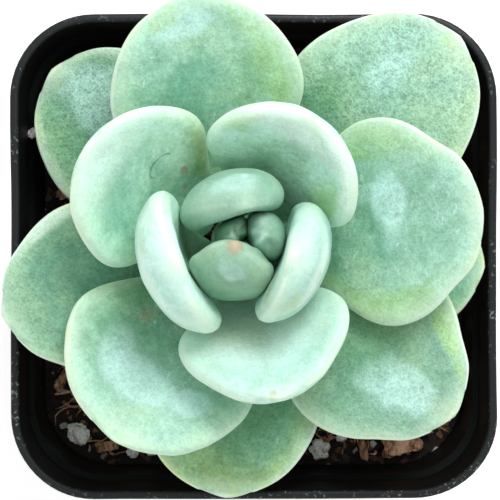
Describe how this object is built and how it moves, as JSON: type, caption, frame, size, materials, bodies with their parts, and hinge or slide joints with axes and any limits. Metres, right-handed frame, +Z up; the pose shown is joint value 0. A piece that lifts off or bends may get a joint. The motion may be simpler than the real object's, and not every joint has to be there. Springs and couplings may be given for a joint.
{
  "type": "potted rosette succulent",
  "caption": "Rosette succulent with thick, pale waxy leaves spiralling up a short stem, growing in a tapered square black plastic nursery pot of bark and perlite potting mix",
  "frame": {"origin": "the middle of the flat underside of the pot's base", "axes": "+Z up through the pot to the rosette, +X and +Y across the pot's flat sides"},
  "size_m": [0.0645, 0.0653, 0.0868],
  "materials": {
    "leaf_wax": "living leaf skin, grey green under a powdery pale wax bloom, satin",
    "heart_leaf_wax": "young leaf skin, darker blue green with thin wax bloom, satin",
    "stem_skin": "fleshy green stem, browner and corky toward the soil",
    "pot_plastic": "thin black moulded plastic, semi gloss, scuffed along the rim",
    "soil_mix": "moist dark potting mix, crumbly and matt",
    "perlite_grain": "white expanded grains, pitted and matt",
    "bark_chip": "splintered brown bark and coconut husk, matt",
    "husk_fibre": "coarse brown coconut fibre, matt"
  },
  "bodies": {
    "root": {"outer_leaf_1": "leaf_wax", "outer_leaf_2": "leaf_wax", "outer_leaf_3": "leaf_wax", "outer_leaf_4": "leaf_wax", "outer_leaf_5": "leaf_wax", "outer_leaf_6": "leaf_wax", "outer_leaf_7": "leaf_wax", "outer_leaf_8": "leaf_wax", "outer_leaf_9": "leaf_wax", "middle_leaf_1": "leaf_wax", "middle_leaf_2": "leaf_wax", "middle_leaf_3": "leaf_wax", "inner_leaf_1": "leaf_wax", "inner_leaf_2": "leaf_wax", "inner_leaf_3": "leaf_wax", "inner_leaf_4": "leaf_wax", "heart_leaf_1": "heart_leaf_wax", "heart_leaf_2": "heart_leaf_wax", "heart_leaf_3": "heart_leaf_wax", "stem": "stem_skin", "soil": "soil_mix", "pot": "pot_plastic", "perlite_1": "perlite_grain", "perlite_2": "perlite_grain", "perlite_3": "perlite_grain", "perlite_4": "perlite_grain", "perlite_5": "perlite_grain", "perlite_6": "perlite_grain", "perlite_7": "perlite_grain", "perlite_8": "perlite_grain", "bark_chip_1": "bark_chip", "bark_chip_2": "bark_chip", "bark_chip_3": "bark_chip", "bark_chip_4": "bark_chip", "bark_chip_5": "bark_chip", "bark_chip_6": "bark_chip", "bark_chip_7": "bark_chip", "husk_fibre_1": "husk_fibre", "husk_fibre_2": "husk_fibre", "husk_fibre_3": "husk_fibre"}
  },
  "joints": []
}
